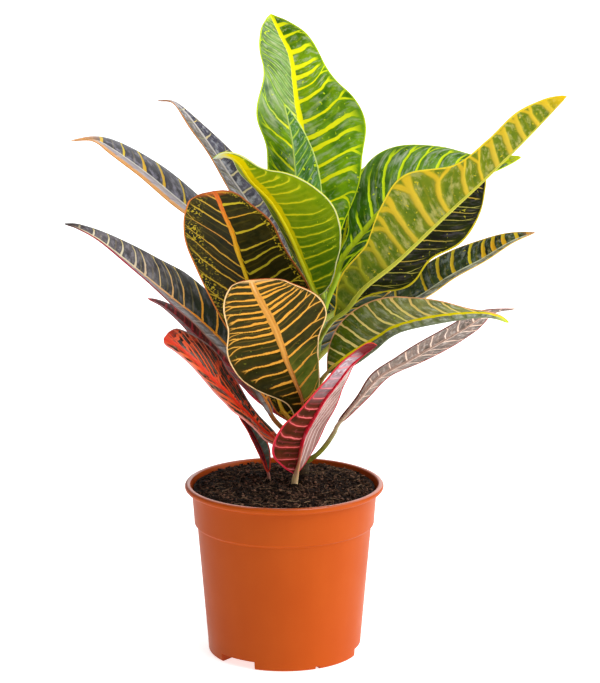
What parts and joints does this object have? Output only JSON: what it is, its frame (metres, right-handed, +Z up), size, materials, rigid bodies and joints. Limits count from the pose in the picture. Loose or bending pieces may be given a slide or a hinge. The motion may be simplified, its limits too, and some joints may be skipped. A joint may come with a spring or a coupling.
{
  "type": "potted croton plant",
  "caption": "Potted croton house plant: broad waved leaves with coloured veins on a woody stem in a tapered nursery pot filled with soil.",
  "frame": {"origin": "middle of the pot's underside, on the surface the pot stands on", "axes": "+Z up along the pot's axis, +Y away from the viewer of the front, +X to the viewer's right"},
  "size_m": [0.2895, 0.2277, 0.3824],
  "materials": {
    "pot_plastic": "terracotta-coloured moulded plastic with a soft sheen",
    "soil": "dark moist peat crumbs",
    "bark": "young grey-brown bark",
    "leaf_green": "glossy green leaf with yellow veins",
    "leaf_lime": "satin lime leaf with golden veins",
    "leaf_dark": "glossy green-black leaf with yellow-orange veins",
    "leaf_olive": "satin olive leaf underside with pale orange veins",
    "leaf_red": "satin dark leaf with red and pink veins",
    "leaf_grey": "matte grey-purple leaf underside with pink midrib"
  },
  "bodies": {
    "root": {"pot": "pot_plastic", "soil": "soil", "stem": "bark", "leaf_crown_back": "leaf_green", "leaf_crown_inner": "leaf_green", "leaf_lime_front": "leaf_lime", "leaf_upper_right": "leaf_green", "leaf_long_right": "leaf_lime", "leaf_dark_right": "leaf_dark", "leaf_mid_right": "leaf_dark", "leaf_low_right": "leaf_green", "leaf_curled_right": "leaf_grey", "leaf_red_front": "leaf_red", "leaf_olive_front": "leaf_olive", "leaf_brown_front": "leaf_olive", "leaf_upper_left": "leaf_dark", "leaf_mid_left": "leaf_dark", "leaf_long_left": "leaf_dark", "leaf_wine_left": "leaf_red", "leaf_red_left": "leaf_red", "leaf_basal_left": "leaf_red", "leaf_back_upper": "leaf_green", "leaf_back_left": "leaf_green", "leaf_back_right": "leaf_dark", "leaf_back_middle": "leaf_dark", "leaf_back_low": "leaf_red"}
  },
  "joints": []
}
